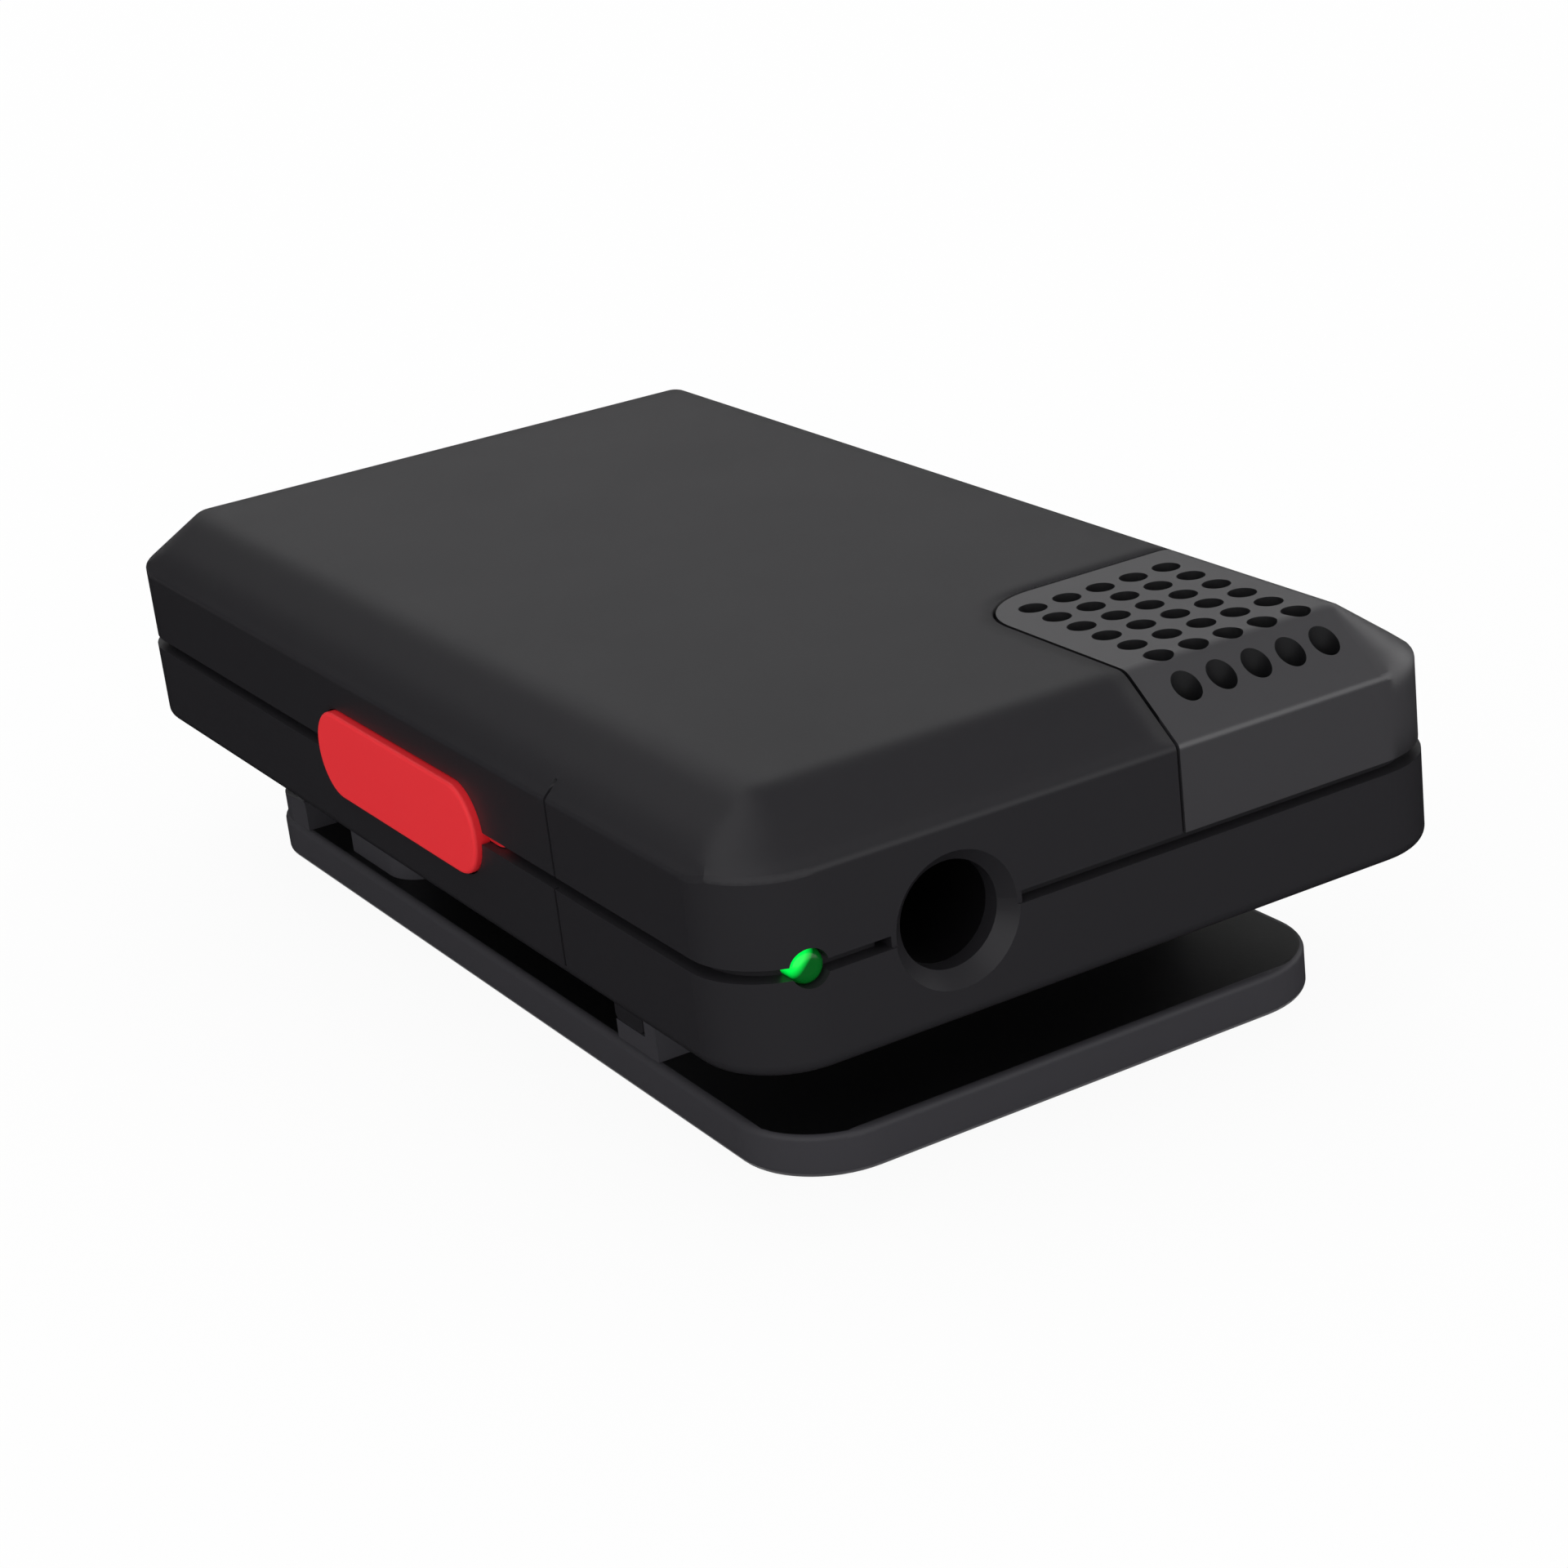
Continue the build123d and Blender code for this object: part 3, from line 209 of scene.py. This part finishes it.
# The blend has more sheen than the shells' plastic, so the grille stands out as a lighter grey.
grille_blend = moulded("satin_pc_abs_charcoal", GRILLE_BLACK, roughness=0.38, reflectance=1.0)
low, high = (Vector(corner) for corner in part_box("mic_grille"))
# Faces within the outer wall that don't look up, the walls of the holes, get the near black as painted
# shade.
paint_shade_inside(
    grille_blend,
    (low.x - MM, low.y + OUTER_WALL),
    (high.x - OUTER_WALL, high.y + MM),
    NOT_LOOKING_UP,
    HOLE_PAINTED_SHADE,
    GRILLE_BLACK,
)
soften_edges(grille_blend, "X", high.x - CORNER_BEVEL)
dress(grille_blend, "mic_grille")

# Woven polyester mesh under the holes keeps dust and wind out.  It is dull and nearly black,
# with a painted highlight on the crowns of its threads and painted shade between them.
THREAD_PITCH = 0.12 * MM
THREAD_DEPTH = 0.03 * MM
UNIT_BANDS = 2 * math.pi / 20       # a wave texture of this scale has bands one unit apart
mesh_cloth, shader = new_finish("woven_polyester_black", Roughness=0.8)
place = add_node(mesh_cloth, "ShaderNodeTexCoord").outputs["Object"]
threads = [
    add_node(
        mesh_cloth,
        "ShaderNodeTexWave",
        {"Scale": UNIT_BANDS / THREAD_PITCH},
        {"Vector": place},
        bands_direction=way,
    ).outputs["Fac"]
    for way in ("X", "Y")
]
weave = add_node(
    mesh_cloth, "ShaderNodeMath", {}, {0: threads[0], 1: threads[1]}, operation="MULTIPLY"
)
# The lighter colour on the crowns is a painted highlight, and the darker one between the threads is
# painted shade.
ramp = add_node(mesh_cloth, "ShaderNodeValToRGB", {}, {"Fac": weave.outputs["Value"]})
ramp.color_ramp.elements[0].color = linear("#050506")
ramp.color_ramp.elements[1].color = linear("#1C1C1E")
mesh_cloth.node_tree.links.new(ramp.outputs["Color"], shader.inputs["Base Color"])
raise_surface(mesh_cloth, shader, weave.outputs["Value"], THREAD_DEPTH)
dress(mesh_cloth, "mic_mesh")

# ================================================================ microphone capsule
# An electret capsule: a drawn aluminium can with its sound port, held in a rubber boot, with a
# foam ring between it and the mesh and two gold-plated pins to the board.


def bare_metal(name, colour, patch, smooth, rough):
    """Metal whose roughness drifts between two values over patches of this width."""
    material, shader = new_finish(name, Base_Color=linear(colour), Metallic=1.0)
    place = add_node(material, "ShaderNodeTexCoord").outputs["Object"]
    vary_gloss(material, shader, place, patch, smooth, rough)
    return material


# Drawing leaves the aluminium bright, with a silky blur in what it reflects.
can_aluminium = bare_metal("drawn_aluminium", "#C9CACC", 1.5 * MM, smooth=0.24, rough=0.36)
dress(can_aluminium, "mic_capsule")

# Silicone rubber is matt, with a faint grain from its mould.
boot_rubber = moulded(
    "silicone_rubber_black", "#1B1B1D", roughness=0.62, reflectance=0.4,
    pit=0.2 * MM, depth=0.004 * MM,
)
dress(boot_rubber, "mic_boot")

# Open-cell foam is a dull sponge, so no light glints on it.
FOAM_CELL = 0.3 * MM
CELL_DEPTH = 0.08 * MM
foam, shader = new_finish("open_cell_foam_grey", Base_Color=linear("#2A2A2C"), Roughness=0.95)
place = add_node(foam, "ShaderNodeTexCoord").outputs["Object"]
cells = add_node(foam, "ShaderNodeTexVoronoi", {"Scale": 1 / FOAM_CELL}, {"Vector": place})
raise_surface(foam, shader, cells.outputs["Distance"], CELL_DEPTH)
dress(foam, "mic_gasket", "battery_tape")

# ================================================================ 3.5 mm socket
# A glass-filled nylon block on the board with the bore for the plug.  Its four contacts are
# stamped from gold-plated brass.

# The glass fibres dull the nylon, so the bore stays a deep black.
socket_nylon = moulded("glass_filled_nylon_black", "#0B0A0C", roughness=0.5, reflectance=0.25)
dress(socket_nylon, "jack_socket", "tact_switch", "usb_tongue")

# The plating is thin and bright, a warm yellow in every reflection.
gold_plate = bare_metal("gold_plated_brass", "#E2B866", 0.8 * MM, smooth=0.2, rough=0.32)
dress(gold_plate, "jack_contacts", "mic_pins")

# ================================================================ charging socket
# A flat charging receptacle: a stainless steel shell, deep drawn and brushed along its length,
# round a black nylon tongue.
BRUSHED_LINE = 0.06 * MM
BRUSHED_ALONG = (1.0, 0.03, 1.0)    # the lines are drawn out along Y

# Brushing smears its highlights across the lines.
stainless, shader = new_finish("brushed_stainless_steel", Base_Color=linear("#B4B4B6"), Metallic=1.0)
place = add_node(stainless, "ShaderNodeTexCoord").outputs["Object"]
along = add_node(
    stainless, "ShaderNodeMapping", {"Scale": BRUSHED_ALONG}, {"Vector": place}
).outputs["Vector"]
vary_gloss(stainless, shader, along, BRUSHED_LINE, low=0.22, high=0.4)
dress(stainless, "usb_shell")

# ================================================================ side button
# One red ABS piece: the lozenge that the finger meets and the web behind it in the groove.  It
# presses a white plunger on a small switch.

# Nearly the same satin as the shells, so only the strong red sets the button off.
button_abs = moulded("satin_red_abs", "#E4272F", roughness=0.4, reflectance=0.3)
dress(button_abs, "side_button")

# Undyed nylon is a warm white with a waxy sheen.
white_nylon = moulded("nylon_white", "#D8D5CC", roughness=0.45, reflectance=0.4)
dress(white_nylon, "switch_plunger", "battery_socket")

# ================================================================ status light
# A light pipe of clear acrylic, moulded with a polished end, carries the green light of a small
# lamp on the board to the front of the case.  The lamp has a ceramic body.
LAMP_SIDE = (-0.7, 0.0, 0.7)        # the lamp stands up and to the left of the pipe
GLOW_START = 0.15 * MM              # from the middle of the pipe's end towards the lamp
GLOW_FULL = 0.4 * MM
GLOW_LEAST = 0.03

# The acrylic is deep green where it is unlit, and glows on the side of its end that faces the lamp.
acrylic, shader = new_finish(
    "lit_acrylic_green",
    Base_Color=linear("#004A15"),
    Emission_Color=linear("#00FF50"),
    Roughness=0.25,
)
low, high = (Vector(corner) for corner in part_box("light_pipe"))
pipe_end = ((low.x + high.x) / 2, low.y, (low.z + high.z) / 2)
place = add_node(acrylic, "ShaderNodeTexCoord").outputs["Object"]
from_middle = add_node(
    acrylic, "ShaderNodeVectorMath", {1: pipe_end}, {0: place}, operation="SUBTRACT"
).outputs["Vector"]
towards_lamp = add_node(
    acrylic, "ShaderNodeVectorMath", {1: LAMP_SIDE}, {0: from_middle}, operation="DOT_PRODUCT"
).outputs["Value"]
glow = add_node(
    acrylic,
    "ShaderNodeMapRange",
    {"From Min": GLOW_START, "From Max": GLOW_FULL, "To Min": GLOW_LEAST, "To Max": 1.0},
    {"Value": towards_lamp},
)
acrylic.node_tree.links.new(glow.outputs["Result"], shader.inputs["Emission Strength"])
dress(acrylic, "light_pipe")

# Fired unglazed, the ceramic is chalky and pale.
ceramic = moulded(
    "fired_ceramic_white", "#D9D2C0", roughness=0.5, reflectance=0.5,
    pit=0.1 * MM, depth=0.002 * MM,
)
dress(ceramic, "status_led", "antenna")

# ================================================================ circuit board
# Glass-fibre laminate under green solder mask, with the radio, its tinned steel shield and the
# other chips soldered on.
TRACE_PITCH = 0.5 * MM
TRACE_DEPTH = 0.02 * MM

# The mask is a glossy green lacquer, and the copper tracks stand up a little under it.
laminate, shader = new_finish("solder_mask_green", Roughness=0.3)
place = add_node(laminate, "ShaderNodeTexCoord").outputs["Object"]
tracks = add_node(
    laminate,
    "ShaderNodeTexBrick",
    {
        "Scale": 1 / TRACE_PITCH,
        "Color1": linear("#0D4A2B"),
        "Color2": linear("#0F5330"),
        "Mortar": linear("#0A3A22"),
        "Mortar Size": 0.12,
        "Brick Width": 9.0,
        "Row Height": 1.0,
    },
    {"Vector": place},
)
laminate.node_tree.links.new(tracks.outputs["Color"], shader.inputs["Base Color"])
raise_surface(laminate, shader, tracks.outputs["Fac"], TRACE_DEPTH)
dress(laminate, "main_board")

# The chips' epoxy is matt and finely grained.
chip_epoxy = moulded(
    "moulded_epoxy_black", "#161617", roughness=0.55, reflectance=0.4,
    pit=0.1 * MM, depth=0.003 * MM,
)
dress(chip_epoxy, "board_chips", "radio_chip")

# Hot tin sets in soft clouds of brighter and duller grey.
tinplate = bare_metal("tinned_steel", "#BFBFBE", 1.2 * MM, smooth=0.28, rough=0.42)
dress(tinplate, "radio_shield")

# ================================================================ battery
# A lithium pouch cell in aluminium laminate, slightly crinkled, and two leads in silicone
# rubber, red for plus and black for minus.
FOIL_PATCH = 3.0 * MM
CRINKLE_WIDTH = 2.2 * MM
CRINKLE_DEPTH = 0.05 * MM
BETWEEN_LEADS = 0.3 * MM            # the red lead lies past this place along X

# The foil is a pale metal under clear nylon, so its crinkles catch broken highlights.
pouch, shader = new_finish("aluminium_laminate", Base_Color=linear("#A9ABAD"), Metallic=0.8)
place = add_node(pouch, "ShaderNodeTexCoord").outputs["Object"]
vary_gloss(pouch, shader, place, FOIL_PATCH, low=0.3, high=0.42)
crinkle = add_node(
    pouch, "ShaderNodeTexNoise", {"Scale": 1 / CRINKLE_WIDTH, "Detail": 4.0}, {"Vector": place}
)
raise_surface(pouch, shader, crinkle.outputs["Fac"], CRINKLE_DEPTH)
dress(pouch, "battery")

# Soft silicone rubber round the wires has a dull sheen.
lead_rubber, shader = new_finish("silicone_rubber_leads", Roughness=0.5)
place = add_node(lead_rubber, "ShaderNodeTexCoord").outputs["Object"]
side = add_node(lead_rubber, "ShaderNodeSeparateXYZ", {}, {"Vector": place}).outputs["X"]
plus = add_node(
    lead_rubber, "ShaderNodeMath", {1: BETWEEN_LEADS}, {0: side}, operation="GREATER_THAN"
)
ramp = add_node(lead_rubber, "ShaderNodeValToRGB", {}, {"Fac": plus.outputs["Value"]})
ramp.color_ramp.elements[0].color = linear("#141415")
ramp.color_ramp.elements[1].color = linear("#A81E1E")
lead_rubber.node_tree.links.new(ramp.outputs["Color"], shader.inputs["Base Color"])
dress(lead_rubber, "battery_leads")

# ================================================================ clip
# The arm and the base that carries its hinge are moulded in tough black nylon.  A steel pin
# joins them, and a torsion spring of spring steel wire closes the jaw.
CLIP_BLACK = "#3A393D"
ARM_PAINTED_SHADE = "#0A0A0B"             # painted shade on the arm's upper face, which lies in the gap under the case
SHADE_MARGIN = 0.3 * MM                  # the margin round that face that keeps the plain colour
LOOKING_UP = (0.9, 2.0)

# Nylon takes the mould's grain softly: a greyer, duller black than the case's.
clip_nylon = moulded("satin_black_nylon", CLIP_BLACK, roughness=0.45, reflectance=0.25)
# Faces that look up within the arm's plan are painted near black: painted shade for the gap under the
# case.
low, high = (Vector(corner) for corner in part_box("clip_arm"))
paint_shade_inside(
    clip_nylon,
    (low.x + SHADE_MARGIN, low.y + SHADE_MARGIN),
    (high.x - SHADE_MARGIN, high.y),
    LOOKING_UP,
    ARM_PAINTED_SHADE,
    CLIP_BLACK,
)
dress(clip_nylon, "clip_arm", "clip_base")

# Drawn wire is a smooth mid grey that gleams along its turns.
spring_steel = bare_metal("drawn_spring_steel", "#8F8F92", 0.4 * MM, smooth=0.25, rough=0.4)
dress(spring_steel, "clip_spring", "hinge_pin")

# Blackened screws: zinc plate under black chromate, a dark grey metal with a dull sheen.
screw_black = bare_metal("black_zinc_plate", "#3B3A3C", 0.5 * MM, smooth=0.35, rough=0.5)
dress(screw_black, "case_screws", "clip_screws")

# ================================================================ studio
# A white floor and a white surround.  Soft lamps light the case evenly; black and grey cards
# that only its reflections see stop the white surround from washing out the black plastic.
FLOOR_SIDE = 3.0
FLOOR_GLOW = 0.93                   # the rest of what the floor shows is its own lit surface
SURROUND_LIGHT = 0.85
WHITE = (1.0, 1.0, 1.0, 1.0)


def seen_by_eye(shading):
    """1 for what the camera sees, directly or in gloss and glass, and 0 for other rays."""
    rays = add_node(shading, "ShaderNodeLightPath").outputs
    seen = rays["Is Camera Ray"]
    for ray in ("Is Glossy Ray", "Is Transmission Ray"):
        seen = add_node(
            shading, "ShaderNodeMath", {}, {0: seen, 1: rays[ray]}, operation="MAXIMUM"
        ).outputs["Value"]
    return seen


# Matt white paint.  It shows white to the eye, and the case's soft shadow on it stays faint.
bpy.ops.mesh.primitive_plane_add(size=FLOOR_SIDE)
floor = bpy.context.object
floor.name = "studio_floor"
floor_paint, shader = new_finish(
    "studio_floor_white", Base_Color=linear("#F4F4F4"), Roughness=0.9, Specular_IOR_Level=0.0
)
share = add_node(
    floor_paint, "ShaderNodeMath", {1: FLOOR_GLOW}, {0: seen_by_eye(floor_paint)}, operation="MULTIPLY"
).outputs["Value"]
white = add_node(floor_paint, "ShaderNodeEmission", {"Strength": 1.0})
mixed = add_node(
    floor_paint,
    "ShaderNodeMixShader",
    {},
    {0: share, 1: shader.outputs["BSDF"], 2: white.outputs["Emission"]},
)
floor_paint.node_tree.links.new(
    mixed.outputs["Shader"], floor_paint.node_tree.nodes["Material Output"].inputs["Surface"]
)
floor.data.materials.append(floor_paint)

world = bpy.data.worlds.new("studio_surround")
bpy.context.scene.world = world
world.use_nodes = True
surround = world.node_tree.nodes["Background"]
surround.inputs["Color"].default_value = WHITE
surround.inputs["Strength"].default_value = SURROUND_LIGHT
white = add_node(world, "ShaderNodeBackground", {"Strength": 1.0, "Color": WHITE})
mixed = add_node(
    world,
    "ShaderNodeMixShader",
    {},
    {0: seen_by_eye(world), 1: surround.outputs["Background"], 2: white.outputs["Background"]},
)
world.node_tree.links.new(
    mixed.outputs["Shader"], world.node_tree.nodes["World Output"].inputs["Surface"]
)

CASE_MIDDLE = Vector((0.0, 0.0, 0.01))


def softbox(name, place, width, height, power):
    """A rectangular lamp that faces the case and doesn't show in its gloss."""
    lamp = bpy.data.lights.new(name, "AREA")
    lamp.shape = "RECTANGLE"
    lamp.size = width
    lamp.size_y = height
    lamp.energy = power
    holder = bpy.data.objects.new(name, lamp)
    bpy.context.scene.collection.objects.link(holder)
    holder.location = place
    facing = CASE_MIDDLE - Vector(place)
    holder.rotation_euler = facing.to_track_quat("-Z", "Y").to_euler()
    holder.visible_glossy = False


softbox("left_softbox", (-0.55, -0.35, 0.3), 0.5, 0.4, 1.15)
softbox("front_softbox", (0.3, -0.6, 0.1), 0.5, 0.15, 0.6)
softbox("back_softbox", (0.35, 0.55, 0.3), 0.5, 0.4, 0.6)

# Velvet swallows the light, and the papers give back a part of it, none with any gloss.
velvet, paper, charcoal = (
    new_finish(name, Base_Color=linear(colour), Roughness=1.0, Specular_IOR_Level=0.0)[0]
    for name, colour in (
        ("black_velvet", "#0A0A0A"),
        ("grey_paper", "#BCBCBC"),
        ("charcoal_paper", "#7C7C7C"),
    )
)


def card(name, finish, place, width, height, turn):
    """A card that only reflections see."""
    bpy.ops.mesh.primitive_plane_add(size=1.0, location=place, rotation=turn)
    sheet = bpy.context.object
    sheet.name = name
    sheet.scale = (width, height, 1.0)
    sheet.data.materials.append(finish)
    sheet.visible_camera = False
    sheet.visible_diffuse = False
    sheet.visible_shadow = False


UPRIGHT = math.radians(90)
card("floor_card", velvet, (0, 0, 0.0002), 0.5, 0.5, (0, 0, 0))
card("left_card", velvet, (-0.35, 0.4, 0.2), 0.7, 0.5, (UPRIGHT, 0, math.radians(35)))
card("back_card", paper, (0.3, 0.5, 0.3), 1.0, 0.6, (UPRIGHT, 0, math.radians(-31)))
card("top_card", charcoal, (0.4, 0.0, 0.6), 1.0, 1.0, (0, 0, 0))
card("low_card", velvet, (0.27, 0.45, 0.045), 0.9, 0.09, (UPRIGHT, 0, math.radians(-31)))

# ================================================================ camera
# A long lens above the front left corner looks down on the top, the button's side and the
# front end.  It is rolled a little, so that the case leans.
CAMERA_PLACE = Vector((-56.971, -108.124, 51.554)) * MM
CAMERA_AZIMUTH = math.radians(-28.649)
CAMERA_ELEVATION = math.radians(20.949)
CAMERA_ROLL = math.radians(-6.795)
CAMERA_LENS = 77.828                # mm, on a sensor 36 mm wide
bpy.ops.object.camera_add(location=CAMERA_PLACE)
camera = bpy.context.object
camera.data.sensor_width = 36.0
camera.data.lens = CAMERA_LENS
camera.data.clip_start = 0.005
camera.data.clip_end = 10.0
right = Vector((math.cos(CAMERA_AZIMUTH), math.sin(CAMERA_AZIMUTH), 0))
back = Vector((
    math.sin(CAMERA_AZIMUTH) * math.cos(CAMERA_ELEVATION),
    -math.cos(CAMERA_AZIMUTH) * math.cos(CAMERA_ELEVATION),
    math.sin(CAMERA_ELEVATION),
))
up = back.cross(right)
rolled_right = right * math.cos(CAMERA_ROLL) + up * math.sin(CAMERA_ROLL)
rolled_up = up * math.cos(CAMERA_ROLL) - right * math.sin(CAMERA_ROLL)
camera.rotation_euler = Matrix((rolled_right, rolled_up, back)).transposed().to_euler()
bpy.context.scene.camera = camera
bpy.context.scene.view_settings.view_transform = "Standard"
